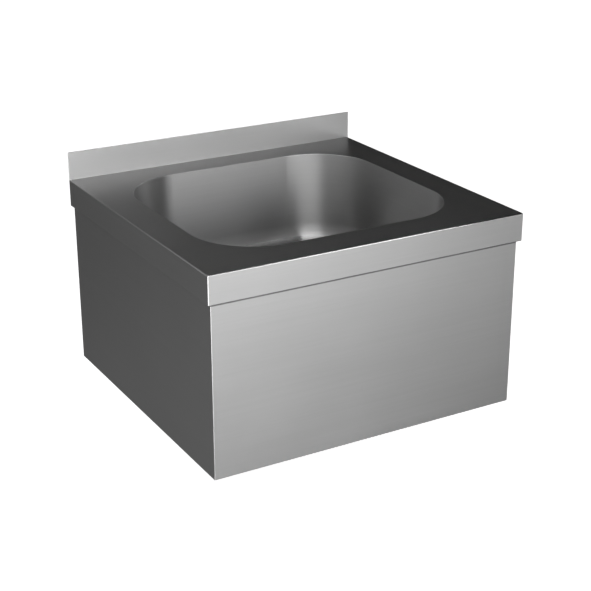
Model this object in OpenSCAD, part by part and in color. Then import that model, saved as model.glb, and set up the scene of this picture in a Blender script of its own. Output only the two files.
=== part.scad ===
// Wall-hung laundry sink. A folded steel top carries a drawn bowl under its opening. Three panels make
// the apron, and two brackets hold the top on the wall. A basket strainer closes the drain.
// X runs across the sink, the front faces -Y, the wall is the plane y = 0, and the origin is the middle
// of the four wall screws.

/* [Top] */
// Width of the deck on each side of the bowl
side_margin = 60; // [56:1:120]
// Width of the deck in front of the bowl
front_margin = 67; // [58:1:120]
// Width of the deck between the bowl and the wall
back_margin = 63; // [54:1:120]
// Thickness of the top's sheet
sheet_t = 1.5; // [1:0.1:2]
// Inner radius of the top's folds
fold_r = 0.5; // [0.3:0.1:1.5]
// Height of the skirt that hangs from the deck's front and sides
skirt_h = 50; // [45:1:80]
// Height of the safety hem inside the skirt's lower edge
hem_h = 12; // [8:1:14]
// Height of the upstand above the deck
upstand_h = 52; // [30:1:120]

/* [Bowl] */
// Width of the bowl's opening
bowl_w = 480; // [400:5:600]
// Depth of the bowl's opening from front to back
bowl_d = 440; // [380:5:520]
// Radius of the opening's corners
bowl_r = 118; // [90:1:150]
// Height from the deck's surface to the rim of the bowl's floor
bowl_h = 210; // [160:5:240]
// Radius of the cove between wall and floor
cove_r = 60; // [30:1:64]
// How far each wall leans in over its height
wall_lean = 4; // [1:0.5:8]
// Thickness of the bowl's sheet
bowl_t = 1; // [0.8:0.1:1.5]
// Width of the bowl's flange under the deck
flange_w = 14; // [8:1:16]
// Step from the deck's cut edge back to the bowl's wall
rim_step = 0.3; // [0.1:0.1:1]
// Drop of the floor's four creased falls towards the drain
floor_fall = 5; // [2:0.5:10]

/* [Apron] */
// Height from the deck's surface to the apron's lower edge
apron_h = 355; // [330:5:480]
// Step from the skirt's face back to the apron's face
apron_inset = 6.5; // [5:0.5:10]
// Thickness of the apron's sheet
panel_t = 1.2; // [0.8:0.1:1.5]
// Width of the flanges folded in along the apron's lower edge
foot_flange = 15; // [10:1:25]
// Width of the side panels' flanges behind the front panel
joint_flange = 18; // [16:1:22]
// Width of the side panels' flanges against the wall
wall_flange = 20; // [12:1:24]
// Width of each leg of the angle that ties the side panels along the wall
rail_w = 25; // [15:1:40]

/* [Frame] */
// Height from the deck's surface to the middle of the four wall screws
screw_drop = 150; // [120:5:170]
// Distance between the two wall screws of one bracket
screw_rise = 180; // [120:5:190]
// Radius of the wall screws' holes
screw_hole_r = 5.5; // [4:0.5:6.5]
// Width of the channels under the deck
channel_w = 30; // [28:1:33]
// Height of the channels under the deck
channel_h = 30; // [26:1:40]
// Thickness of the channels' sheet
channel_t = 1.5; // [1:0.1:2]
// Length of a bracket's arm from the wall
arm_l = 470; // [440:5:500]
// Height of a bracket at the wall
bracket_h = 250; // [240:5:300]
// Height of a bracket's arm at its tip
arm_tip_h = 42; // [40:1:60]
// Thickness of the brackets' plate
bracket_t = 3; // [2:0.5:4]
// Width of a bracket's plate against the wall
bracket_foot = 42; // [36:1:46]
// Depth of a bracket's straight lower end
bracket_heel = 60; // [40:5:80]
// Radius of the larger hole in a bracket's web
web_hole_r = 28; // [16:2:29]
// Distance of the larger hole from the wall
web_hole_y = 88; // [70:2:100]
// Depth of the larger hole's middle below the arm's top
web_hole_drop = 92; // [80:2:100]
// Radius of the smaller hole
web_small_r = 20; // [14:2:24]
// Distance between the two holes' middles
web_hole_pitch = 130; // [90:5:140]
// Depth of the smaller hole's middle below the arm's top
web_small_drop = 78; // [68:2:90]

/* [Fasteners] */
// Radius of the studs that hang the top on its brackets
hang_r = 4; // [3:0.5:4]
// Length of the hanging studs
hang_l = 22; // [20:1:26]
// Distance from the wall to the rear hanging studs
hang_rear = 70; // [40:5:100]
// Distance between the rear and the front hanging studs
hang_span = 320; // [250:5:350]
// Thickness of the washers on the hanging studs
hang_washer_t = 1.6; // [1:0.2:2.4]
// Radius of the studs on the back of the front panel
stud_r = 2.5; // [2:0.5:3]
// Length of the front panel's studs
stud_l = 10; // [9:1:14]
// Height of the lowest panel stud above the apron's lower edge
stud_low = 30; // [15:5:50]
// Distance between the panel studs
stud_pitch = 120; // [80:5:125]
// Radius of the rivets' shanks
rivet_r = 2; // [1.6:0.2:2.4]
// Distance between the rivets
rivet_pitch = 200; // [120:5:220]
// Room between a thread or shank and the hole around it
thread_gap = 0.1; // [0.05:0.05:0.2]

/* [Earthing] */
// Width of the earthing lug
lug_w = 20; // [14:1:30]
// Thickness of the earthing lug
lug_t = 2; // [1.5:0.5:3]
// How far the lug hangs below the rear channel
lug_drop = 24; // [16:1:40]
// Distance from the rear channel's end to the lug's middle
lug_inset = 72; // [30:2:140]
// Radius of the earthing bolt
earth_r = 3; // [2.5:0.5:3]
// Length of the earthing bolt below its head
earth_l = 14; // [12:1:20]

/* [Drain] */
// Radius of the hole in the bowl's floor
drain_r = 45; // [44.5:0.5:47]
// Radius of the sunk seat around the drain
seat_r = 59; // [58:1:64]
// Depth of the sunk seat below the floor's lowest fall
seat_drop = 1; // [0.5:0.5:4]
// Outer radius of the strainer's cup
cup_r = 43; // [42:0.5:44]
// Thickness of the strainer's sheet
cup_t = 1.2; // [0.8:0.1:1.5]
// Inner depth of the strainer's cup
cup_h = 40; // [36:1:48]
// Radius of the strainer's flange
lip_r = 57; // [54:0.5:57.5]
// Outer radius of the outlet's thread, G 1 1/2
outlet_r = 23.9; // [20:0.1:25]
// Wall of the outlet
outlet_t = 4.4; // [3:0.1:5]
// Length of the outlet's thread
outlet_l = 22; // [18:1:30]
// Thickness of the gasket under the strainer's flange
gasket_t = 1; // [0.5:0.5:1.5]
// Thickness of the rubber washer under the bowl
washer_t = 3; // [2:0.5:5]
// Thickness of the lock nut
lock_h = 9; // [7:1:14]
// Radius of the hub that guides the basket's post
hub_r = 7; // [6:0.5:9]
// Height of the hub
hub_h = 10; // [8:1:14]
// Width of the four arms that carry the hub
spoke_w = 3; // [2:0.5:4]
// Height of the four arms
spoke_h = 4; // [3:0.5:6]
// Thickness of the friction ring
ring_t = 1; // [0.5:0.5:2]
// Thickness of the sound pads stuck to the bowl
pad_t = 3; // [2:0.5:5]
// Height of the sound pads on the bowl's walls
pad_h = 80; // [50:5:85]

/* [Basket] */
// Radius of the basket's floor
basket_r = 33; // [32:0.5:35]
// Radius of the basket's rim
basket_rim_r = 41; // [40:0.2:41.4]
// Thickness of the basket's sheet
basket_t = 0.8; // [0.6:0.1:1.2]
// Drop of the basket's rim below the strainer's flange
rim_drop = 3; // [2:0.5:6]
// Height of the slots in the basket's wall
slot_h = 16; // [8:1:20]
// Radius of the rubber stopper under the basket
stopper_r = 25; // [22:0.5:27]
// Thickness of the rubber stopper
stopper_t = 3; // [2:0.5:4]
// Radius of the basket's holes
sieve_r = 2; // [1:0.25:2.25]
// Radius of the basket's post
post_r = 3; // [2:0.25:3.5]
// Radial room between the post and the strainer's hub
post_gap = 0.08; // [0.05:0.01:0.1]
// How far the basket lifts to open the drain
basket_lift = 12; // [6:1:14]
// Radius of the knob on the post
knob_r = 9; // [7:0.5:12]
// Height of the knob's top above the strainer's flange
knob_rise = 4; // [2:0.5:8]

/* [Hidden] */
$fn = 64;

// Overlap of a cutting shape with what it cuts
cut = 1;
// Gap between pieces that lie side by side and aren't fixed to each other
side_gap = 0.5;
// Room of a hole around a fastener
hole_gap = 0.25;
// Layer of glue between the bowl and its pads
glue_gap = 0.1;

// The top's outline, and the levels of its sheet
top_w = bowl_w + 2 * side_margin;
top_d = front_margin + bowl_d + back_margin;
deck_z = screw_drop;
under_z = deck_z - sheet_t;
skirt_z = deck_z - skirt_h;

// The bowl's middle, its corners' axes and the levels of its floor
bowl_y = -(back_margin + bowl_d / 2);
corner_x = bowl_w / 2 - bowl_r;
corner_y = bowl_d / 2 - bowl_r;
floor_z = deck_z - bowl_h;
seat_z = floor_z - floor_fall - seat_drop;

// The bowl's section: its wall leans by this angle and meets the cove's centre at cove_x
wall_x = bowl_r + rim_step;
lean = atan(wall_lean / bowl_h);
cove_z = floor_z + cove_r;
cove_x = wall_x - (under_z - cove_z) * tan(lean) - cove_r / cos(lean);
// The cove stands this much proud, so that it cuts the wall and the floor instead of just touching them
cove_bite = 0.003;
// The creased falls keep inside the flat rim of the floor
fall_reach = 0.6 * cove_x;
// The pads under the floor start this far outside the drain's seat
pad_clear = 9;

// The apron's outer faces, inner faces and lower edge
panel_x = top_w / 2 - apron_inset;
panel_y = top_d - apron_inset;
inner_x = panel_x - panel_t;
inner_y = panel_y - panel_t;
apron_z = deck_z - apron_h;

// The channels under the deck stand off the wall, clear of the brackets' plates
wall_gap = bracket_t + side_gap;
channel_top = under_z - channel_t;
channel_in = inner_x - channel_w;
side_channel_front = inner_y - panel_t - side_gap;

// The brackets' webs stand inside the side channels
web_x = channel_in + channel_t + side_gap;
arm_flange = channel_w - 2 * channel_t - 2 * side_gap;
bracket_hole_x = web_x + bracket_t - bracket_foot / 2;
// The hanging studs stand in slots of the arms, at these distances from the wall
hang_ys = [hang_rear, hang_rear + hang_span];
hang_x = web_x + bracket_t + (arm_flange - bracket_t) / 2;
hang_washer_r = 2 * hang_r + 1;
slot_l = 6 * hang_r;
// A nut and a bolt's head are this many bolt radii high, and this many from the axis to their corners
nut_rise = 1.6;
head_rise = 1.3;
nut_reach = 1.9;

// The front panel's studs stand in the side panels' flanges at three heights
stud_x = inner_x - joint_flange / 2;
stud_zs = [for (i = [0 : 2]) apron_z + stud_low + i * stud_pitch];
// The rivets sit behind the skirt, at mid height of the channels' outer legs, three to a side
rivet_z = channel_top - 0.5 * (channel_h - channel_t);
rivet_steps = [for (i = [-1 : 1]) i * rivet_pitch];
rivet_mid = (wall_gap + side_channel_front) / 2;
rivet_head_r = 2 * rivet_r;
rivet_head_h = 0.6 * rivet_r;

// The drain stack's levels, from the flange down
lip_z = seat_z + gasket_t;
mouth_z = lip_z + cup_t;
cup_z = mouth_z - cup_h;
cup_end = cup_z - cup_t;
outlet_end = cup_end - outlet_l;
bowl_under = seat_z - bowl_t;
// The rubber washer, the friction ring and the lock nut each end this much further inside the seat
stack_step = 1.4;
ring_z = bowl_under - washer_t - ring_t;
lock_z = ring_z - lock_h;
// The hub and its arms stand in the outlet's mouth, just below the cup's floor
hub_drop = 0.5;

// The basket stands this far above the strainer's floor when it closes the drain
stop_gap = 0.3;
stopper_z = cup_z + stop_gap;
basket_z = stopper_z + stopper_t;
rim_z = mouth_z - rim_drop;
// The basket's wall ends this far inside its rim
rim_w = 4;
clip_h = 0.8;
clip_r = 2 * post_r;
// At full lift the post still reaches half way down the hub
post_end = cup_z - hub_drop - 0.5 * hub_h - basket_lift;
knob_z = mouth_z + knob_rise;

// The earthing lug is welded to the rear channel's leg
cross_half = channel_in - side_gap;
lug_x = cross_half - lug_inset;
lug_y = wall_gap + channel_w;
lug_lap = 18;
earth_z = under_z - channel_h - 0.5 * lug_drop;

// A flat outline with rounded corners, centred on the origin
module rounded_outline(w, d, r) {
    square([w - 2 * r, d], center = true);
    square([w, d - 2 * r], center = true);
    for (x = [-1, 1], y = [-1, 1])
        translate([x * (w / 2 - r), y * (d / 2 - r)])
            circle(r);
}

// A sheet block's section with its two upper edges rounded, from z = low to z = high
module rounded_head(w, low, high, r) {
    translate([-w / 2, low])
        square([w, high - low - r]);
    translate([-w / 2 + r, low])
        square([w - 2 * r, high - low]);
    for (x = [-1, 1])
        translate([x * (w / 2 - r), high - r])
            circle(r);
}

// The block that the folded top would fill, set in by inset, with folds of radius r
module top_block(inset, low, r) {
    high = deck_z - inset;
    intersection() {
        // Across the sink: both side folds
        translate([0, cut, 0])
            rotate([90, 0, 0])
                linear_extrude(top_d + 2 * cut)
                    rounded_head(top_w - 2 * inset, low, high, r);
        // Along its depth: the front fold, with the section running on behind the wall
        translate([-top_w / 2, 0, 0])
            rotate([90, 0, 90])
                linear_extrude(top_w)
                    rounded_head(2 * (top_d - inset), low, high, r);
    }
}

// The deck, its skirts with their hems, and the upstand: one folded sheet with the bowl's opening in it
module sink_top() {
    outer_r = fold_r + sheet_t;
    color("silver")
        difference() {
            union() {
                intersection() {
                    difference() {
                        top_block(0, skirt_z, outer_r);
                        top_block(sheet_t, skirt_z - cut, fold_r);
                    }
                    translate([-top_w / 2, -top_d, skirt_z])
                        cube([top_w, top_d, skirt_h]);
                }
                skirt_hem();
                upstand();
            }
            translate([0, bowl_y, under_z - cut])
                linear_extrude(sheet_t + 2 * cut)
                    rounded_outline(bowl_w, bowl_d, bowl_r);
        }
}

// The sheet's edge folded back against the inside of the skirt
module skirt_hem() {
    inner_w = top_w - 2 * sheet_t;
    hem_d = top_d - sheet_t;
    difference() {
        translate([-inner_w / 2, -hem_d, skirt_z])
            cube([inner_w, hem_d, hem_h]);
        translate([-inner_w / 2 + sheet_t, -hem_d + sheet_t, skirt_z - cut])
            cube([inner_w - 2 * sheet_t, hem_d + cut, hem_h + 2 * cut]);
    }
}

// The upstand along the wall, with the small hollow fold at its root
module upstand() {
    translate([-top_w / 2, -sheet_t, under_z])
        cube([top_w, sheet_t, upstand_h + sheet_t]);
    translate([-top_w / 2, -sheet_t, deck_z])
        rotate([90, 0, 90])
            linear_extrude(top_w)
                difference() {
                    translate([-fold_r, 0])
                        square(fold_r);
                    translate([-fold_r, fold_r])
                        circle(fold_r);
                }
}

// The bowl's section from a corner's axis outwards, grown by g, up to the level high
module bowl_section(g, high) {
    low = floor_z - g;
    reach = cove_r + g;
    wall_at_high = wall_x - (under_z - high) * tan(lean) + g / cos(lean);
    touch = [cove_x + reach * cos(lean), cove_z - reach * sin(lean)];
    polygon([[0, low], [cove_x, low], touch, [wall_at_high, high], [0, high]]);
    // The cove, which bulges out of the line between wall and floor
    intersection() {
        translate([cove_x, cove_z])
            circle(reach + cove_bite);
        translate([0, low - cut])
            square([2 * wall_x, high - low + cut]);
    }
}

// The bowl's section on both sides of a middle stretch
module bowl_slab(half, g, high) {
    for (side = [0, 1])
        mirror([side, 0])
            translate([half, 0])
                bowl_section(g, high);
    translate([-half, floor_z - g])
        square([2 * half, high - floor_z + g]);
}

// The four creased falls: two shallow roofs turned over, cut by each other
module floor_falls(g) {
    intersection() {
        rotate([90, 0, 0])
            linear_extrude(bowl_d, center = true)
                fall_section(corner_x + fall_reach, g);
        rotate([90, 0, 90])
            linear_extrude(bowl_w, center = true)
                fall_section(corner_y + fall_reach, g);
    }
}

module fall_section(half, g) {
    low = floor_z - g;
    polygon([[-half, low + cut], [-half, low], [0, low - floor_fall], [half, low], [half, low + cut]]);
}

// The sunk seat of the drain, a flat disc with a sloping edge
module drain_seat(g) {
    rise = floor_fall + seat_drop;
    translate([0, 0, seat_z - g])
        cylinder(h = rise, r1 = seat_r + g, r2 = seat_r + g + rise);
}

// The solid that fills the bowl, grown by g, up to the level high
module bowl_form(g, high) {
    translate([0, bowl_y, 0]) {
        for (x = [0, 1], y = [0, 1])
            mirror([x, 0, 0])
                mirror([0, y, 0])
                    translate([corner_x, corner_y, 0])
                        rotate_extrude(angle = 90)
                            bowl_section(g, high);
        rotate([90, 0, 0])
            linear_extrude(2 * corner_y, center = true)
                bowl_slab(corner_x, g, high);
        rotate([90, 0, 90])
            linear_extrude(2 * corner_x, center = true)
                bowl_slab(corner_y, g, high);
        floor_falls(g);
        drain_seat(g);
    }
}

// The drawn bowl: coved shell, flange under the deck, creased floor and sunk drain seat
module bowl() {
    rim = 2 * rim_step;
    color("silver")
        difference() {
            union() {
                bowl_form(bowl_t, under_z);
                translate([0, bowl_y, under_z - bowl_t])
                    linear_extrude(bowl_t)
                        rounded_outline(bowl_w + rim + 2 * flange_w, bowl_d + rim + 2 * flange_w,
                            bowl_r + rim_step + flange_w);
            }
            bowl_form(0, under_z + cut);
            translate([0, bowl_y, seat_z - bowl_t - cut])
                cylinder(h = bowl_t + 2 * cut, r = drain_r);
        }
}

// The apron's front, with its lower flange between the side panels' flanges
module front_panel() {
    flange_x = inner_x - max(joint_flange, foot_flange) - side_gap;
    color("gainsboro")
        difference() {
            union() {
                translate([-panel_x, -panel_y, apron_z])
                    cube([2 * panel_x, panel_t, under_z - apron_z]);
                translate([-flange_x, -panel_y, apron_z])
                    cube([2 * flange_x, panel_t + foot_flange, panel_t]);
            }
            front_rivet_holes();
        }
}

// The holes through the front panel and the front channel's leg
module front_rivet_holes() {
    for (x = rivet_steps)
        translate([x, -panel_y - cut, rivet_z])
            rotate([-90, 0, 0])
                cylinder(h = panel_t + channel_t + 2 * cut, r = rivet_r + thread_gap);
}

// The holes through a side panel and its channel's leg
module side_rivet_holes() {
    for (y = rivet_steps)
        translate([inner_x - channel_t - cut, -rivet_mid + y, rivet_z])
            rotate([0, 90, 0])
                cylinder(h = panel_t + channel_t + 2 * cut, r = rivet_r + thread_gap);
}

// The right side of the apron: flanges behind the front panel, along the lower edge and on the wall
module side_panel() {
    height = under_z - apron_z;
    difference() {
        union() {
            translate([inner_x, -inner_y, apron_z])
                cube([panel_t, inner_y, height]);
            translate([inner_x - joint_flange, -inner_y, apron_z])
                cube([joint_flange, panel_t, height]);
            translate([inner_x - wall_flange, -panel_t, apron_z])
                cube([wall_flange, panel_t, height]);
            translate([inner_x - foot_flange, -inner_y, apron_z])
                cube([foot_flange, inner_y, panel_t]);
        }
        for (z = stud_zs)
            translate([stud_x, -inner_y - cut, z])
                rotate([-90, 0, 0])
                    cylinder(h = panel_t + 2 * cut, r = stud_r + hole_gap);
        side_rivet_holes();
    }
}

module right_panel() {
    color("gainsboro")
        side_panel();
}

module left_panel() {
    color("gainsboro")
        mirror([1, 0, 0])
            side_panel();
}

// A channel's section, open below, with its top at z = 0
module channel_section() {
    difference() {
        translate([-channel_w / 2, -channel_h])
            square([channel_w, channel_h]);
        translate([-channel_w / 2 + channel_t, -channel_h - cut])
            square([channel_w - 2 * channel_t, channel_h - channel_t + cut]);
    }
}

// The channel under the right side of the deck, which hangs on the bracket's arm
module side_channel() {
    difference() {
        translate([channel_in + channel_w / 2, -wall_gap, under_z])
            rotate([90, 0, 0])
                linear_extrude(side_channel_front - wall_gap)
                    channel_section();
        side_rivet_holes();
    }
}

module right_channel() {
    color("darkgray")
        side_channel();
}

module left_channel() {
    color("darkgray")
        mirror([1, 0, 0])
            side_channel();
}

// A channel across the sink between the side channels, with its middle at the distance y from the wall
module cross_channel(y) {
    translate([-cross_half, -y, under_z])
        rotate([90, 0, 90])
            linear_extrude(2 * cross_half)
                channel_section();
}

// The channel behind the front panel, riveted to it below the deck's fold
module front_channel() {
    color("darkgray")
        difference() {
            cross_channel(inner_y - channel_w / 2);
            front_rivet_holes();
        }
}

// The channel along the wall
module rear_channel() {
    color("darkgray")
        cross_channel(wall_gap + channel_w / 2);
}

// The outline of a bracket's web, seen from the side, with two round holes that save weight
module web_outline() {
    difference() {
        polygon([
            [0, channel_top], [arm_l, channel_top], [arm_l, channel_top - arm_tip_h],
            [bracket_heel, channel_top - bracket_h], [0, channel_top - bracket_h]
        ]);
        translate([web_hole_y, channel_top - web_hole_drop])
            circle(web_hole_r);
        translate([web_hole_y + web_hole_pitch, channel_top - web_small_drop])
            circle(web_small_r);
    }
}

// The right bracket: web, arm flange with slots for the hanging studs, and the plate against the wall
module bracket() {
    difference() {
        union() {
            translate([web_x + bracket_t, 0, 0])
                rotate([90, 0, -90])
                    linear_extrude(bracket_t)
                        web_outline();
            translate([web_x, -arm_l, channel_top - bracket_t])
                cube([arm_flange, arm_l - wall_gap, bracket_t]);
            translate([web_x + bracket_t - bracket_foot, -bracket_t, channel_top - bracket_h])
                cube([bracket_foot, bracket_t, bracket_h]);
        }
        for (y = hang_ys)
            arm_slot(hang_x, y);
        for (z = [-0.5, 0.5])
            translate([bracket_hole_x, cut, z * screw_rise])
                rotate([90, 0, 0])
                    cylinder(h = bracket_t + 2 * cut, r = screw_hole_r);
    }
}

// A slot along the arm, with round ends
module arm_slot(x, y) {
    r = hang_r + hole_gap;
    straight = slot_l - 2 * r;
    translate([x, -y, channel_top - bracket_t - cut])
        linear_extrude(bracket_t + 2 * cut) {
            square([2 * r, straight], center = true);
            for (end = [-0.5, 0.5])
                translate([0, end * straight])
                    circle(r);
        }
}

module right_bracket() {
    color("slategray")
        bracket();
}

module left_bracket() {
    color("slategray")
        mirror([1, 0, 0])
            bracket();
}

// The angle that ties the side panels together above their lower flanges
module rear_rail() {
    length = 2 * (inner_x - side_gap);
    color("darkgray") {
        translate([-length / 2, -panel_t - channel_t, apron_z + panel_t])
            cube([length, channel_t, rail_w]);
        translate([-length / 2, -panel_t - rail_w, apron_z + panel_t])
            cube([length, rail_w, channel_t]);
    }
}

// A sound pad: the layer of thickness pad_t on the outside of the bowl, within the child's block
module bowl_pad() {
    intersection() {
        difference() {
            bowl_form(bowl_t + glue_gap + pad_t, under_z);
            bowl_form(bowl_t + glue_gap, under_z + cut);
        }
        children();
    }
}

// The two pads under the floor, one on each side of the drain
module base_pads() {
    near = seat_r + floor_fall + seat_drop + pad_clear;
    far = corner_x + cove_x - pad_t;
    depth = floor_fall + bowl_t + glue_gap + pad_t + cut;
    color("dimgray")
        bowl_pad()
            for (x = [0, 1])
                mirror([x, 0, 0])
                    translate([near, bowl_y - corner_y, floor_z - depth])
                        cube([far - near, 2 * corner_y, depth]);
}

// The two pads on the front and back walls
module wall_pads() {
    low = cove_z + pad_t;
    color("dimgray")
        bowl_pad()
            for (y = [0, 1])
                translate([0, bowl_y, 0])
                    mirror([0, y, 0])
                        translate([-corner_x, corner_y, low])
                            cube([2 * corner_x, 2 * bowl_r, pad_h]);
}

// A blind rivet along +Z: its head stands on z = 0 and its tail closes below the grip
module rivet(grip) {
    rotate_extrude()
        polygon([
            [0, rivet_head_h], [0.5 * rivet_head_r, rivet_head_h], [rivet_head_r, 0.3 * rivet_head_h],
            [rivet_head_r, 0], [rivet_r, 0], [rivet_r, -grip], [1.4 * rivet_r, -grip],
            [1.4 * rivet_r, -grip - rivet_r], [rivet_r, -grip - 1.5 * rivet_r], [0, -grip - 1.5 * rivet_r]
        ]);
}

// The rivets that hold the three panels on the channels, hidden behind the skirt
module panel_rivets() {
    grip = panel_t + channel_t;
    color("lightgray") {
        for (side = [0, 1], y = rivet_steps)
            mirror([side, 0, 0])
                translate([panel_x, -rivet_mid + y, rivet_z])
                    rotate([0, 90, 0])
                        rivet(grip);
        for (x = rivet_steps)
            translate([x, -panel_y, rivet_z])
                rotate([90, 0, 0])
                    rivet(grip);
    }
}

// The studs welded on the back of the front panel
module panel_studs() {
    color("lightgray")
        for (x = [-1, 1], z = stud_zs)
            translate([x * stud_x, -inner_y, z])
                rotate([-90, 0, 0])
                    cylinder(h = stud_l, r = stud_r);
}

// A hexagon nut for a bolt of radius r along +Z, standing on z = 0
module hex_nut(r) {
    difference() {
        cylinder(h = nut_rise * r, r = nut_reach * r, $fn = 6);
        translate([0, 0, -cut])
            cylinder(h = nut_rise * r + 2 * cut, r = r + thread_gap);
    }
}

// The nuts that clamp the side panels' flanges to the front panel
module panel_nuts() {
    color("lightgray")
        for (x = [-1, 1], z = stud_zs)
            translate([x * stud_x, -inner_y + panel_t, z])
                rotate([-90, 0, 0])
                    hex_nut(stud_r);
}

// Places its children under each of the four hanging studs
module at_hangers() {
    for (x = [-1, 1], y = hang_ys)
        translate([x * hang_x, -y, 0])
            children();
}

module hanging_studs() {
    color("lightgray")
        at_hangers()
            translate([0, 0, channel_top - hang_l])
                cylinder(h = hang_l, r = hang_r);
}

module hanging_washers() {
    color("lightgray")
        at_hangers()
            translate([0, 0, channel_top - bracket_t - hang_washer_t])
                difference() {
                    cylinder(h = hang_washer_t, r = hang_washer_r);
                    translate([0, 0, -cut])
                        cylinder(h = hang_washer_t + 2 * cut, r = hang_r + hole_gap);
                }
}

module hanging_nuts() {
    color("lightgray")
        at_hangers()
            translate([0, 0, channel_top - bracket_t - hang_washer_t - nut_rise * hang_r])
                hex_nut(hang_r);
}

// The earthing lug: a tab welded to the rear channel, with one hole below it
module earth_lug() {
    color("gainsboro")
        difference() {
            translate([lug_x - lug_w / 2, -lug_y - lug_t, under_z - channel_h - lug_drop])
                cube([lug_w, lug_t, lug_lap + lug_drop]);
            translate([lug_x, -lug_y - lug_t - cut, earth_z])
                rotate([-90, 0, 0])
                    cylinder(h = lug_t + 2 * cut, r = earth_r + hole_gap);
        }
}

// The bolt for the earth wire, its head towards the bowl
module earth_bolt() {
    color("goldenrod")
        translate([lug_x, -lug_y - lug_t, earth_z])
            rotate([90, 0, 0]) {
                cylinder(h = head_rise * earth_r, r = nut_reach * earth_r, $fn = 6);
                translate([0, 0, -earth_l])
                    cylinder(h = earth_l, r = earth_r);
            }
}

module earth_nut() {
    color("goldenrod")
        translate([lug_x, -lug_y, earth_z])
            rotate([-90, 0, 0])
                hex_nut(earth_r);
}

// Places its children on the drain's axis
module at_drain() {
    translate([0, bowl_y, 0])
        children();
}

// The strainer's cup with its flange, its threaded outlet and the hub that guides the basket's post
module strainer_body() {
    inner_r = cup_r - cup_t;
    way_r = outlet_r - outlet_t;
    hub_top = cup_z - hub_drop;
    color("silver")
        at_drain() {
            rotate_extrude()
                polygon([
                    [inner_r, mouth_z - 2 * cup_t], [inner_r + 1.5 * cup_t, mouth_z - 0.3 * cup_t],
                    [inner_r + 3 * cup_t, mouth_z], [lip_r - cup_t, mouth_z], [lip_r, lip_z + 0.4 * cup_t],
                    [lip_r, lip_z], [cup_r, lip_z], [cup_r, cup_end], [outlet_r, cup_end],
                    [outlet_r, outlet_end], [way_r, outlet_end], [way_r, cup_z], [inner_r, cup_z]
                ]);
            difference() {
                union() {
                    translate([0, 0, hub_top - hub_h])
                        cylinder(h = hub_h, r = hub_r);
                    intersection() {
                        for (turn = [0, 90])
                            rotate([0, 0, turn])
                                translate([-outlet_r, -spoke_w / 2, hub_top - spoke_h])
                                    cube([2 * outlet_r, spoke_w, spoke_h]);
                        translate([0, 0, hub_top - spoke_h - cut])
                            cylinder(h = spoke_h + 2 * cut, r = way_r + 0.5 * outlet_t);
                    }
                }
                translate([0, 0, hub_top - hub_h - cut])
                    cylinder(h = hub_h + 2 * cut, r = post_r + post_gap);
            }
        }
}

// A flat ring on the drain's axis, from z = low
module drain_ring(inner, outer, low, h) {
    at_drain()
        translate([0, 0, low])
            difference() {
                cylinder(h = h, r = outer);
                translate([0, 0, -cut])
                    cylinder(h = h + 2 * cut, r = inner);
            }
}

module flange_gasket() {
    color("dimgray")
        drain_ring(drain_r, lip_r - cup_t, seat_z, gasket_t);
}

module rubber_washer() {
    color("dimgray")
        drain_ring(cup_r + hole_gap, seat_r - stack_step, bowl_under - washer_t, washer_t);
}

module friction_ring() {
    color("wheat")
        drain_ring(cup_r + hole_gap, seat_r - 2 * stack_step, ring_z, ring_t);
}

// The large nut that clamps the strainer, with six lugs for a spanner
module lock_nut() {
    rim_r = seat_r - 3 * stack_step;
    collar_h = 0.3 * lock_h;
    lug_d = lock_h;
    color("gainsboro")
        at_drain()
            translate([0, 0, lock_z])
                difference() {
                    union() {
                        cylinder(h = lock_h, r = 0.5 * (cup_r + rim_r));
                        translate([0, 0, lock_h - collar_h])
                            cylinder(h = collar_h, r = rim_r);
                        for (turn = [0 : 60 : 300])
                            rotate([0, 0, turn])
                                translate([cup_r + cut, -lug_d / 2, 0])
                                    cube([rim_r - cup_r, lug_d, lock_h]);
                    }
                    translate([0, 0, -cut])
                        cylinder(h = lock_h + 2 * cut, r = cup_r + thread_gap);
                }
}

// The perforated basket: a flared cup with a flat rim, a ring of holes in its floor and slots in its wall
module basket_cup() {
    top_r = basket_rim_r - rim_w;
    slot_z = 0.5 * (basket_z + rim_z - slot_h);
    holes = 20;
    color("silver")
        at_drain()
            difference() {
                rotate_extrude()
                    polygon([
                        [post_r + thread_gap, basket_z], [basket_r - basket_t, basket_z],
                        [basket_r, basket_z + basket_t], [top_r, rim_z - basket_t],
                        [basket_rim_r, rim_z - basket_t], [basket_rim_r, rim_z], [top_r - basket_t, rim_z],
                        [basket_r - 1.2 * basket_t, basket_z + basket_t],
                        [post_r + thread_gap, basket_z + basket_t]
                    ]);
                for (i = [0 : holes - 1])
                    rotate([0, 0, i * 360 / holes]) {
                        translate([0.5 * (stopper_r + basket_r - basket_t), 0, basket_z - cut])
                            cylinder(h = basket_t + 2 * cut, r = sieve_r);
                        translate([basket_r - 4 * basket_t, -sieve_r / 2, slot_z])
                            cube([top_r - basket_r + 6 * basket_t, sieve_r, slot_h]);
                    }
            }
}

// The rubber stopper that closes the outlet when the basket is down
module basket_stopper() {
    color("dimgray")
        at_drain()
            difference() {
                rotate_extrude()
                    polygon([
                        [post_r + thread_gap, stopper_z], [stopper_r - 1, stopper_z],
                        [stopper_r, stopper_z + 0.3 * stopper_t], [stopper_r, stopper_z + 0.6 * stopper_t],
                        [stopper_r - 2, basket_z], [post_r + thread_gap, basket_z]
                    ]);
                translate([0, 0, stopper_z - cut])
                    cylinder(h = clip_h + cut, r = clip_r + hole_gap);
            }
}

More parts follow.
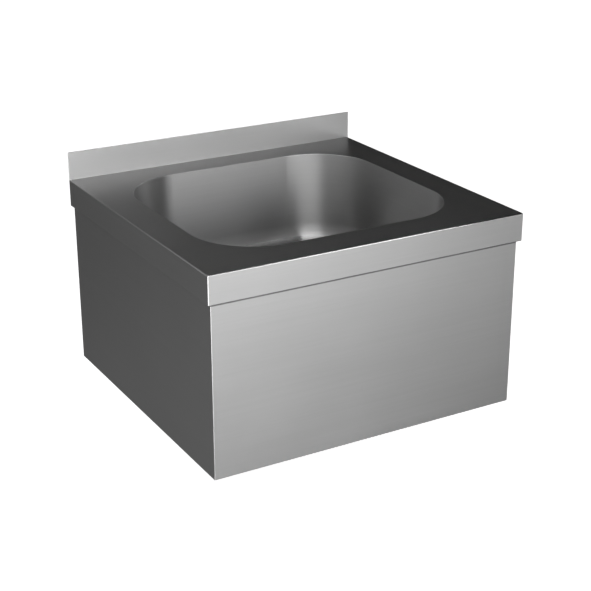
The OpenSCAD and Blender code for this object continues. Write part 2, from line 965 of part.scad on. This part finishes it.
// The post, guided in the strainer's hub below and ending in a turned knob above
module basket_post() {
    knob_h = 0.8 * knob_r;
    color("silver")
        at_drain()
            rotate_extrude()
                polygon([
                    [0, post_end], [0.6 * post_r, post_end], [post_r, post_end + 0.5 * post_r],
                    [post_r, knob_z - knob_h], [0.7 * knob_r, knob_z - 0.8 * knob_h],
                    [knob_r, knob_z - 0.45 * knob_h], [knob_r, knob_z - 0.25 * knob_h],
                    [0.75 * knob_r, knob_z], [0, knob_z]
                ]);
}

// The nut that clamps basket and stopper on the post
module basket_nut() {
    color("lightgray")
        at_drain()
            translate([0, 0, basket_z + basket_t])
                hex_nut(post_r);
}

// The spring clip that holds the stopper up, sunk in its underside
module stopper_clip() {
    color("lightgray")
        drain_ring(post_r + 0.5 * thread_gap, clip_r, stopper_z, clip_h);
}

sink_top();
bowl();
front_panel();
left_panel();
right_panel();
front_channel();
rear_channel();
left_channel();
right_channel();
left_bracket();
right_bracket();
rear_rail();
base_pads();
wall_pads();
panel_rivets();
panel_studs();
panel_nuts();
hanging_studs();
hanging_washers();
hanging_nuts();
earth_lug();
earth_bolt();
earth_nut();
strainer_body();
flange_gasket();
rubber_washer();
friction_ring();
lock_nut();
basket_cup();
basket_stopper();
basket_post();
basket_nut();
stopper_clip();
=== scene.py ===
"""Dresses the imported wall-hung laundry sink: camera, studio, and a procedural material for every piece."""
from functools import partial
import math

import bpy
from mathutils import Euler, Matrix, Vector


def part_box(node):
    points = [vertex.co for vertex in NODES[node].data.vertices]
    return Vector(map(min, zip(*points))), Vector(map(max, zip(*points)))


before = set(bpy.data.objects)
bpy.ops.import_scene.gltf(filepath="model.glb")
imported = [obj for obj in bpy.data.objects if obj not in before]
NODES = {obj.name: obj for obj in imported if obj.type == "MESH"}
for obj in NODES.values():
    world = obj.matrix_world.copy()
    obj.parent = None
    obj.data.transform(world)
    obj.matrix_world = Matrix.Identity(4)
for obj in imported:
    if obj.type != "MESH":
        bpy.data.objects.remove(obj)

SCENE = bpy.context.scene
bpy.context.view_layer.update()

# The camera, fitted to the photograph's edges
CAMERA_PLACE = (-1.1501, -2.3236, 0.8934)
CAMERA_YAW = 29.783  # degrees from +Y towards +X
CAMERA_PITCH = 21.736  # degrees below the horizon
CAMERA_ROLL = 0.084  # degrees
FIELD_OF_VIEW = 24.094  # degrees across the picture
SENSOR = 36.0  # millimetres

DECK_Z = 0.15  # the deck's upper face
FLOOR_Z = DECK_Z - 0.9

# Rounded edges: their radii, and the angle from which an edge counts as sharp
FINE_EDGE = 0.0004  # of a sheet's deburred edge
SKIRT_FOLD = 0.0014
PANEL_FOLD = 0.0011
SHARP = math.radians(40)

# The bowl's cove starts softly above the solid's own cove: the level, the run of its start and its lean
COVE_TOP = 0.011
COVE_EASE = 0.012
COVE_LEAN = 0.32

# The panels carry a painted shade up at the skirt's hem: the levels from which and to which it
# fades in, and its tone there
PAINTED_SHADE_START, PAINTED_SHADE_FULL = 0.0954, 0.0962
PAINTED_SHADE_TONE = 0.35

# Screw threads: the axes that they run along, and their pitches
ALONG_Y, ALONG_Z = 1, 2
M5_PITCH = 0.0008
M8_PITCH = 0.00125
OUTLET_PITCH = 0.002309  # G 1 1/2
OUTLET_WALL = 0.0225  # a radius between the outlet's bore and its thread
OUTLET_THREAD = 0.02  # how far the outlet's thread reaches up

# Colours
FOLDED_STEEL = (0.45, 0.45, 0.45)
DRAWN_STEEL = (0.44, 0.44, 0.44)
MILL_STEEL = (0.52, 0.52, 0.53)
ZINC = (0.56, 0.57, 0.59)
FASTENER_STEEL = (0.66, 0.66, 0.67)
POLISHED_STEEL = (0.72, 0.72, 0.73)
BRASS = (0.78, 0.58, 0.28)
RUBBER = (0.02, 0.02, 0.021)
BITUMEN = (0.045, 0.045, 0.048)
FIBRE = (0.5, 0.36, 0.22)
FLOOR = (0.85, 0.85, 0.85)


# ---------------------------------------------------------------- shader graphs

class Graph:
    """A node tree, with short calls that add nodes and link them."""

    def __init__(self, tree):
        self.tree = tree
        self.tree.nodes.clear()

    def bare(self, kind, **settings):
        """Adds a node by its whole type name."""
        node = self.tree.nodes.new(kind)
        for name, value in settings.items():
            setattr(node, name, value)
        return node

    def feed(self, node, key, value):
        """Sets an input, or links a socket to it."""
        if isinstance(value, bpy.types.NodeSocket):
            self.tree.links.new(value, node.inputs[key])
        else:
            node.inputs[key].default_value = value

    def node(self, kind, inputs=None, **settings):
        """Adds a shader node with these settings and inputs."""
        node = self.bare("ShaderNode" + kind, **settings)
        for key, value in (inputs or {}).items():
            self.feed(node, key, value)
        return node

    def math(self, operation, a, b=0.0):
        return self.node("Math", {0: a, 1: b}, operation=operation).outputs[0]

    def product(self, first, *others):
        for other in others:
            first = self.math("MULTIPLY", first, other)
        return first

    def split(self, vector):
        return self.node("SeparateXYZ", {0: vector}).outputs

    def place(self):
        """The point's place on the object, in metres."""
        return self.node("TexCoord").outputs["Object"]

    def facing(self):
        """The x, y and z of the direction that the surface faces, each from -1 to 1."""
        return self.split(self.node("TexCoord").outputs["Normal"])

    def noise(self, scale, detail=2.0, roughness=0.5, distortion=0.0):
        """Noise from 0 to 1, with as many features a metre as the scale says, for all axes or for each."""
        scale = scale if isinstance(scale, tuple) else (scale, scale, scale)
        stretched = self.node("VectorMath", {0: self.place(), 1: scale}, operation="MULTIPLY").outputs[0]
        made = self.node("TexNoise", {"Vector": stretched, "Scale": 1.0, "Detail": detail,
                                      "Roughness": roughness, "Distortion": distortion})
        return made.outputs[0]

    def remap(self, value, low, high, to_low=0.0, to_high=1.0, smooth=False):
        """Maps low..high to to_low..to_high and stops there."""
        inputs = {"Value": value, "From Min": low, "From Max": high, "To Min": to_low, "To Max": to_high}
        kind = "SMOOTHSTEP" if smooth else "LINEAR"
        return self.node("MapRange", inputs, interpolation_type=kind, clamp=True).outputs[0]

    def blend(self, factor, a, b):
        """Number a where factor is 0 and b where it is 1."""
        return self.node("Mix", {0: factor, 2: a, 3: b}, data_type="FLOAT").outputs[0]

    def colour(self, factor, a, b):
        """Colour a where factor is 0 and b where it is 1."""
        a, b = [(*part, 1.0) if isinstance(part, tuple) else part for part in (a, b)]
        return self.node("Mix", {0: factor, 6: a, 7: b}, data_type="RGBA").outputs[2]

    def bump(self, height, distance, strength=1.0, normal=None):
        """The normal of this height; it starts from another normal, where one is given."""
        inputs = {"Height": height, "Distance": distance, "Strength": strength}
        if normal is not None:
            inputs["Normal"] = normal
        return self.node("Bump", inputs).outputs[0]

    def finish(self, shader, kind="OutputMaterial"):
        self.node(kind, {"Surface": shader})


def material(name):
    made = bpy.data.materials.new(name)
    made.use_nodes = True
    return made, Graph(made.node_tree)


def principled(graph, colour, roughness, metallic=0.0, **inputs):
    """A Principled shader; numbers that are the same all over are set on its own sockets."""
    values = {"Base Color": colour, "Roughness": roughness, "Metallic": metallic, **inputs}
    return graph.node("BsdfPrincipled", values).outputs[0]


def shade(base, factor):
    """The colour base made lighter or darker by a factor."""
    return tuple(min(1.0, part * factor) for part in base)


# ---------------------------------------------------------------- where a sheet turns

def upright(graph):
    """1 on faces that stand upright, 0 on faces that lie flat, smooth between."""
    lean = graph.math("ABSOLUTE", graph.facing()[2])
    return graph.remap(lean, 0.55, 0.85, 1.0, 0.0, smooth=True)


def cove_turn(graph):
    """1 where the surface turns from an upright face to a flat one, and 0 on both."""
    z = graph.math("ABSOLUTE", graph.facing()[2])
    return graph.math("MINIMUM", graph.remap(z, 0.08, 0.3), graph.remap(z, 0.995, 0.95))


def front_highlight_folds(graph):
    """1 on the front's folds and corners, where a highlight is painted, and 0 on flat faces and side folds."""
    x, y = [graph.math("ABSOLUTE", part) for part in graph.facing()[:2]]
    corner = graph.remap(graph.math("MINIMUM", x, y), 0.1, 0.3)
    folds = graph.math("MAXIMUM", cove_turn(graph), corner)
    return graph.product(folds, graph.remap(y, 0.05, 0.25))


def cove_swell(graph):
    """A height that leans the shading of the bowl's walls into the cove from COVE_TOP down.

    It is there on the inside only, whose faces look up.
    """
    inside = graph.math("GREATER_THAN", graph.facing()[2], 0.0)
    below = graph.math("SUBTRACT", COVE_TOP, graph.split(graph.place())[2])
    eased = graph.math("POWER", graph.remap(below, 0.0, COVE_EASE, 0.0, COVE_EASE), 2.0)
    start = graph.product(eased, COVE_LEAN / (2 * COVE_EASE))
    past_start = graph.math("MAXIMUM", graph.math("SUBTRACT", below, COVE_EASE), 0.0)
    return graph.product(graph.math("ADD", start, graph.product(past_start, COVE_LEAN)), inside)


def painted_hem_shade(graph):
    """1 up at the skirt's hem, where a shade is painted onto the panels, and 0 below."""
    return graph.remap(graph.split(graph.place())[2], PAINTED_SHADE_START, PAINTED_SHADE_FULL)


# ---------------------------------------------------------------- metals

def grain(graph, across, along, detail=2.0):
    """Brush lines: level on upright faces, and across the sink on flat ones.

    Across and along say how many features they have a metre in those directions.
    """
    standing = graph.noise((along, along, across), detail)
    lying = graph.noise((along, across, along), detail)
    return graph.blend(upright(graph), lying, standing)


def across_grain(graph):
    """The direction in which highlights stretch: up on upright faces, and to the wall on flat ones."""
    return graph.node("CombineXYZ", {0: 0.0, 1: 0.01, 2: 1.0}).outputs[0]


def brushed_steel(name, base, roughness, anisotropy, depth, turn, painted_highlight_tone, turned_roughness,
                  swell=None, film=None):
    """Long-grain brushed stainless sheet: fine and coarse lines, faint clouds, and an uneven gloss.

    Turn, swell and the shade mask are functions of the graph. Turn finds the folds that get a painted
    highlight, or where the draw has stretched the sheet smooth, swell makes a height in metres for a form that
    is too soft for the mesh, and the shade mask finds where a shade under the skirt's hem is painted into the
    colour.
    """
    made, graph = material(name)
    fine = grain(graph, across=1400.0, along=6.0, detail=3.0)
    coarse = grain(graph, across=260.0, along=2.5)
    clouds = graph.noise(5.0, 3.0, 0.6)
    lines = graph.blend(0.45, fine, coarse)
    tone = graph.blend(0.3, lines, clouds)
    turned = turn(graph)
    colour = graph.colour(graph.remap(tone, 0.3, 0.7), shade(base, 0.95), shade(base, 1.04))
    # On the turned folds the colour is brightened into a painted highlight, wherever the tone there is above 1
    colour = graph.colour(turned, colour, shade(base, painted_highlight_tone))
    # A painted shade up at the skirt's hem, where a shade mask is given
    if film:
        colour = graph.colour(film(graph), colour, shade(base, PAINTED_SHADE_TONE))
    gloss = graph.remap(tone, 0.25, 0.75, roughness - 0.03, roughness + 0.04)
    form = graph.bump(swell(graph), 1.0) if swell else None
    graph.finish(principled(
        graph,
        colour,
        graph.blend(turned, gloss, turned_roughness),
        1.0,
        Anisotropic=anisotropy,
        Tangent=across_grain(graph),
        Normal=graph.bump(lines, depth, 0.5, form),
    ))
    return made


def screw_thread(graph, axis, pitch):
    """The height of a screw thread that runs along an axis."""
    return graph.math("PINGPONG", graph.split(graph.place())[axis], pitch / 2)


def outlet_thread(graph):
    """The height of the strainer's thread, on the outside of its outlet only."""
    low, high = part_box("strainer_body")
    x, y, z = graph.split(graph.place())
    y = graph.math("SUBTRACT", y, (low[1] + high[1]) / 2)
    reach = graph.math("ADD", graph.product(x, x), graph.product(y, y))
    outside = graph.math("GREATER_THAN", reach, OUTLET_WALL ** 2)
    below_top = graph.math("LESS_THAN", z, low[2] + OUTLET_THREAD)
    return graph.product(screw_thread(graph, ALONG_Z, OUTLET_PITCH), outside, below_top)


def plain_metal(name, base, roughness, spots=220.0, thread=None):
    """Bright metal with faint spots and a little wear in the gloss.

    Spots says how many there are a metre, and thread is a function of the graph that makes a height in metres.
    """
    made, graph = material(name)
    mottle = graph.noise(spots, 3.0, 0.6)
    form = graph.bump(thread(graph), 1.0) if thread else None
    graph.finish(principled(
        graph,
        graph.colour(graph.remap(mottle, 0.3, 0.7), shade(base, 0.9), base),
        graph.remap(mottle, 0.3, 0.7, roughness - 0.04, roughness + 0.06),
        1.0,
        Normal=graph.bump(mottle, 0.00004, 0.3, form),
    ))
    return made


def galvanised_steel(name, base):
    """Zinc-plated steel: crystal spangles that differ a little in tone and gloss."""
    made, graph = material(name)
    spangle = graph.node("TexVoronoi", {"Vector": graph.place(), "Scale": 120.0, "Randomness": 1.0},
                         feature="F1")
    tone = graph.split(spangle.outputs["Color"])[0]
    dust = graph.noise(900.0)
    graph.finish(principled(
        graph,
        graph.colour(graph.blend(0.3, tone, dust), shade(base, 0.8), shade(base, 1.08)),
        graph.remap(graph.blend(0.4, tone, dust), 0.1, 0.9, 0.3, 0.52),
        1.0,
        Normal=graph.bump(dust, 0.00005, 0.3),
    ))
    return made


# ---------------------------------------------------------------- other materials

def rubber(name, base):
    """Matt rubber: fine pores and a little pale dust."""
    made, graph = material(name)
    pores = graph.noise(1500.0, 3.0, 0.6)
    dust = graph.noise(60.0, 3.0)
    graph.finish(principled(
        graph,
        graph.colour(graph.remap(dust, 0.4, 0.8), base, shade(base, 1.9)),
        graph.remap(pores, 0.2, 0.8, 0.55, 0.78),
        Normal=graph.bump(pores, 0.00008, 0.5),
    ))
    return made


def bitumen(name, base):
    """The sound pads' pressed bitumen: a coarse, dusty, dimpled face."""
    made, graph = material(name)
    dimples = graph.node("TexVoronoi", {"Vector": graph.place(), "Scale": 320.0}, feature="SMOOTH_F1")
    dust = graph.noise(90.0, 4.0, 0.6)
    graph.finish(principled(
        graph,
        graph.colour(graph.remap(dust, 0.4, 0.75), base, shade(base, 2.4)),
        graph.remap(dust, 0.3, 0.7, 0.75, 0.95),
        Normal=graph.bump(dimples.outputs[0], 0.0004, 0.6),
    ))
    return made


def pressed_fibre(name, base):
    """The friction ring's pressed fibre: short strands that lie along the ring's face."""
    made, graph = material(name)
    strands = graph.noise((500.0, 2600.0, 900.0), 4.0, 0.65, 0.8)
    graph.finish(principled(
        graph,
        graph.colour(graph.remap(strands, 0.3, 0.7), shade(base, 0.7), shade(base, 1.15)),
        graph.remap(strands, 0.3, 0.7, 0.7, 0.9),
        Normal=graph.bump(strands, 0.00012, 0.5),
    ))
    return made


def dress(made, *names):
    """Gives these CAD nodes the material."""
    for name in names:
        materials = NODES[name].data.materials
        materials.clear()
        materials.append(made)


def dress_sheets():
    # The folded sheet gets a painted highlight on its front folds and corners
    folded = partial(brushed_steel, base=FOLDED_STEEL, roughness=0.38, anisotropy=0.8, depth=0.000004,
                     turn=front_highlight_folds, painted_highlight_tone=2.0, turned_roughness=0.2)
    drawn = partial(brushed_steel, base=DRAWN_STEEL, roughness=0.42, anisotropy=0.9, depth=0.000002,
                    turn=cove_turn, painted_highlight_tone=1.0, turned_roughness=0.24)
    dress(folded("brushed_sheet"), "sink_top")
    # The panels get a painted shade up at the skirt's hem
    dress(folded("panel_sheet", film=painted_hem_shade), "front_panel", "left_panel", "right_panel")
    dress(drawn("drawn_sheet", swell=cove_swell), "bowl")


def dress_metals():
    dress(plain_metal("mill_sheet", MILL_STEEL, roughness=0.38, spots=40.0),
          "front_channel", "rear_channel", "left_channel", "right_channel", "rear_rail", "earth_lug")
    dress(galvanised_steel("galvanised", ZINC), "left_bracket", "right_bracket", "lock_nut")
    dress(plain_metal("fastener", FASTENER_STEEL, roughness=0.24),
          "panel_rivets", "panel_nuts", "hanging_washers", "hanging_nuts", "basket_nut", "stopper_clip")
    for material_name, node, axis, pitch in (("hanging_stud", "hanging_studs", ALONG_Z, M8_PITCH),
                                             ("panel_stud", "panel_studs", ALONG_Y, M5_PITCH)):
        thread = partial(screw_thread, axis=axis, pitch=pitch)
        dress(plain_metal(material_name, FASTENER_STEEL, roughness=0.24, thread=thread), node)
    dress(plain_metal("brass", BRASS, roughness=0.26), "earth_bolt", "earth_nut")
    dress(plain_metal("polished", POLISHED_STEEL, roughness=0.12), "basket_cup", "basket_post")
    dress(plain_metal("strainer_steel", POLISHED_STEEL, roughness=0.12, thread=outlet_thread), "strainer_body")


def dress_rest():
    dress(rubber("rubber", RUBBER), "flange_gasket", "rubber_washer", "basket_stopper")
    dress(bitumen("sound_pad", BITUMEN), "base_pads", "wall_pads")
    dress(pressed_fibre("fibre", FIBRE), "friction_ring")


# ---------------------------------------------------------------- rounded edges

def edge_weights(name, full, broad, tight):
    """A node group that gives a bevel of the full radius its weights.

    Sharp edges get the fine radius, edges in the broad boxes the full one, as where a sheet is folded, and
    edges in the tight boxes none, as where two sheets meet. A box is its lowest and highest corner, in metres,
    and holds an edge by its middle. It is written for the right half and serves both.
    """
    group = bpy.data.node_groups.new(name, "GeometryNodeTree")
    for in_out in ("INPUT", "OUTPUT"):
        group.interface.new_socket("Geometry", in_out=in_out, socket_type="NodeSocketGeometry")
    graph = Graph(group)
    x, y, z = graph.split(graph.bare("GeometryNodeInputPosition").outputs[0])
    middle = graph.math("ABSOLUTE", x), y, z

    def inside(box):
        """1 for an edge whose middle lies in the box."""
        tests = [graph.math(test, part, limit) for part, low, high in zip(middle, *box)
                 for test, limit in (("GREATER_THAN", low), ("LESS_THAN", high))]
        return graph.product(*tests)

    angle = graph.bare("GeometryNodeInputMeshEdgeAngle").outputs["Unsigned Angle"]
    weight = graph.product(graph.math("GREATER_THAN", angle, SHARP), FINE_EDGE / full)
    for box in broad:
        weight = graph.math("MAXIMUM", weight, inside(box))
    for box in tight:
        weight = graph.product(weight, graph.math("SUBTRACT", 1.0, inside(box)))
    store = graph.bare("GeometryNodeStoreNamedAttribute", data_type="FLOAT", domain="EDGE")
    graph.feed(store, "Name", "bevel_weight_edge")
    graph.feed(store, "Value", weight)
    graph.feed(store, "Geometry", graph.bare("NodeGroupInput").outputs[0])
    graph.feed(graph.bare("NodeGroupOutput"), 0, store.outputs[0])
    return group


def soften(names, full=FINE_EDGE, broad=(), tight=()):
    """Rounds these nodes' edges as on real sheet, so that they catch the light: see edge_weights."""
    for name in names:
        modifiers = NODES[name].modifiers
        modifiers.new("weld", "WELD").merge_threshold = 0.000002
        plain = modifiers.new("plain", "DECIMATE")
        plain.decimate_type = "DISSOLVE"
        plain.angle_limit = math.radians(0.5)
        modifiers.new("weights", "NODES").node_group = edge_weights(name + "_edges", full, broad, tight)
        bevel = modifiers.new("bevel", "BEVEL")
        bevel.width = full
        bevel.segments = 4
        bevel.limit_method = "WEIGHT"
        bevel.use_clamp_overlap = False
        bevel.harden_normals = True


def soften_sheets():
    """The skirt's folded corners and hem, the front panel's folded ends, and the other sheets' fine edges."""
    near, past = 0.0002, 1  # just inside a face, so that its own edges are held, and past the whole sink
    low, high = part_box("sink_top")
    side, front, foot = high[0] - near, low[1] + near, low[2] + near
    skirt_folds = (
        [(side, -past, -past), (past, front, DECK_Z - 0.0011)],  # upright, at the corners
        [(high[0] - 0.0022, -past, DECK_Z - 0.0013),
         (past, low[1] + 0.0022, DECK_Z + near)],  # where three folds meet
        [(-past, -past, -past), (past, front, foot)],  # the front's hem
        [(side, -past, -past), (past, -0.01, foot)],  # the sides' hems
    )
    heel = [(high[0] - 0.003, -0.0035, DECK_Z - 0.003), (past, past, DECK_Z + 0.001)]  # the deck's rear corners
    wall_side = [(-past, -near, -past), (past, past, past)]  # edges that lie against the wall
    soften(["sink_top"], SKIRT_FOLD, broad=skirt_folds, tight=(heel, wall_side))

    low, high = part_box("front_panel")
    side, front = high[0] - near, low[1] + near
    fold = [(side, -past, -past), (past, front, past)]
    seam = [(side, front, -past), (past, front + 0.002, past)]  # between the front and the side panel
    soften(["front_panel"], PANEL_FOLD, broad=(fold,), tight=(seam,))
    soften(["left_panel", "right_panel"], tight=(seam,))
    soften(["left_bracket", "right_bracket", "rear_rail", "front_channel", "rear_channel", "left_channel",
            "right_channel"])


# ---------------------------------------------------------------- studio

def seen_share(graph):
    """1 for the rays that see the studio in the picture, in metal or through glass."""
    path = graph.node("LightPath").outputs
    seen = graph.math("MAXIMUM", path["Is Glossy Ray"], path["Is Transmission Ray"])
    return graph.math("MAXIMUM", seen, path["Is Camera Ray"])


def make_world(light):
    """White where it is seen, and a soft even light on what is matt."""
    world = bpy.data.worlds.new("studio")
    world.use_nodes = True
    SCENE.world = world
    graph = Graph(world.node_tree)
    level = graph.blend(seen_share(graph), light, 1.0)
    shader = graph.node("Background", {"Color": (1, 1, 1, 1), "Strength": level}).outputs[0]
    graph.finish(shader, "OutputWorld")


def make_floor(half, lift):
    """A pale floor that takes the shadow; lift brightens it where it is seen, up to white."""
    bpy.ops.mesh.primitive_plane_add(size=2 * half, location=(0, 0, FLOOR_Z))
    floor = bpy.context.object
    floor.name = "floor"
    made, graph = material("floor")
    matt = graph.node("BsdfDiffuse", {"Color": (*FLOOR, 1.0)}).outputs[0]
    glow = graph.node("Emission", {"Strength": graph.product(seen_share(graph), lift)}).outputs[0]
    graph.finish(graph.node("AddShader", {0: matt, 1: glow}).outputs[0])
    floor.data.materials.append(made)


def card(name, low, high, strengths):
    """A studio card that the metal mirrors and the camera looks past: dark as a flag, bright as a screen.

    It lies between two opposite corners, which share one coordinate, and has one side along each of the other
    two axes. The strengths are those at the low corner, at the ends of its first and its second side, and at
    the high corner, and the light runs evenly between them. One number is the same all over.
    """
    low, high = Vector(low), Vector(high)
    first, second = [axis for axis in range(3) if low[axis] != high[axis]]
    across, up = low.copy(), low.copy()
    across[first], up[second] = high[first], high[second]
    mesh = bpy.data.meshes.new(name)
    mesh.from_pydata([low, across, high, up], [], [(0, 1, 2, 3)])
    spread = mesh.uv_layers.new(name="spread")
    for loop, uv in zip(spread.data, ((0, 0), (1, 0), (1, 1), (0, 1))):
        loop.uv = uv
    made_card = bpy.data.objects.new(name, mesh)
    SCENE.collection.objects.link(made_card)
    made_card.visible_camera = made_card.visible_diffuse = made_card.visible_shadow = False

    made, graph = material(name)
    at_low, at_across, at_up, at_high = strengths if isinstance(strengths, tuple) else (strengths,) * 4
    run = graph.split(graph.node("TexCoord").outputs["UV"])
    start = graph.blend(run[0], at_low, at_across)
    end = graph.blend(run[0], at_up, at_high)
    graph.finish(graph.node("Emission", {"Strength": graph.blend(run[1], start, end)}).outputs[0])
    mesh.materials.append(made)


def make_cards():
    """A room of cards round the sink, whose strengths were solved so that the steel looks as in the photograph.

    It has screens in front and at both sides, a glow on floor and ceiling in front, softer ones above and
    behind on the left, a window behind the sink for its back, and dark flags elsewhere.
    """
    left, right, near, far = -2.2, 2.0, -3.2, 1.0
    low, top = FLOOR_Z + 0.01, 2.19

    halves = 0.32  # where the front wall's left and right half meet
    rows = (("low", low, 0.51, 1.6, (2.5, 1.1, 5.2, 3.15)),
            ("mid", 0.51, 1.35, (3.8, 4.3, 3.0, 4.3), (5.2, 4.9, 5.0, 3.7)),
            ("top", 1.35, top, (1.6, 3.0, 1.4, 2.2), (0.9, 0.3, 0, 0)))
    for row, foot, head, on_left, on_right in rows:
        card("front_left_" + row, (left, near, foot), (halves, near, head), on_left)
        card("front_right_" + row, (halves, near, foot), (right, near, head), on_right)

    corner, head = -0.7, 0.93  # where the left screen bends, and the side screens' upper edge
    card("left_near", (left, near, low), (left, corner, head), (1.8, 2.2, 2.3, 2.1))
    card("left_far", (left, corner, low), (left, far, head), (1.95, 0.9, 1.5, 0.65))
    card("left_flag", (left, near, head), (left, far, top), 0)
    card("right_screen", (right, near, low), (right, far, head), (1.5, 0.75, 0.1, 1.5))
    card("right_flag", (right, near, head), (right, far, top), 0)

    glow = low + 0.01  # just above the floor's flag
    card("floor_flag", (left, near, low), (right, far, low), (0.05, 0, 0.3, 0))
    card("floor_glow", (left, near, glow), (-0.52, -1.1, glow), (1.0, 1.6, 2.1, 2.05))

    ledge = -1.94  # where the ceiling's bright front ends
    soft, fade = -0.31, 0.53  # where the soft light on the left ends, and where it has faded
    card("ceiling_near_left", (left, near, top), (halves, ledge, top), (1.4, 2.15, 1.85, 2.4))
    card("ceiling_near_right", (halves, near, top), (right, ledge, top), (0.2, 1.2, 0.3, 0.7))
    card("ceiling_left", (left, ledge, top), (soft, far, top), 0.7)
    card("ceiling_middle", (soft, ledge, top), (fade, far, top), (0.7, 0.05, 0.7, 0.05))
    card("ceiling_right", (fade, ledge, top), (right, far, top), 0)

    foot, before = 0.09, far - 0.01  # the upper back cards' lower edge, and just in front of the back cards
    card("back_low", (left, far, low), (right, far, foot), (0.23, 0.07, 0.08, 0.02))
    card("back_left", (left, far, foot), (soft, far, top), 0.35)
    card("back_flag", (soft, far, foot), (right, far, top), 0)
    card("back_window", (-0.22, before, -0.6), (0.38, before, 0.2), 1.5)


def lamp(name, place, aim, size, watts):
    """A soft square lamp, which metal doesn't mirror."""
    light = bpy.data.lights.new(name, "AREA")
    light.shape = "SQUARE"
    light.size = size
    light.energy = watts
    made = bpy.data.objects.new(name, light)
    SCENE.collection.objects.link(made)
    made.location = place
    made.rotation_euler = (Vector(aim) - Vector(place)).to_track_quat("-Z", "Y").to_euler()
    made.visible_glossy = False


def make_camera():
    data = bpy.data.cameras.new("camera")
    data.sensor_fit = "HORIZONTAL"
    data.sensor_width = SENSOR
    data.lens = 0.5 * SENSOR / math.tan(math.radians(FIELD_OF_VIEW / 2))
    data.clip_start, data.clip_end = 0.05, 60.0
    camera = bpy.data.objects.new("camera", data)
    SCENE.collection.objects.link(camera)
    camera.location = CAMERA_PLACE
    turns = [math.radians(angle) for angle in (90 - CAMERA_PITCH, CAMERA_ROLL, -CAMERA_YAW)]
    camera.rotation_euler = Euler(turns, "XYZ")
    SCENE.camera = camera


make_camera()
make_world(light=0.6)
make_floor(half=8.0, lift=0.6)
make_cards()
lamp("key", place=(-1.6, -2.4, 2.6), aim=(0, -0.3, 0), size=1.6, watts=60)
dress_sheets()
dress_metals()
dress_rest()
soften_sheets()
SCENE.view_settings.view_transform = "Standard"
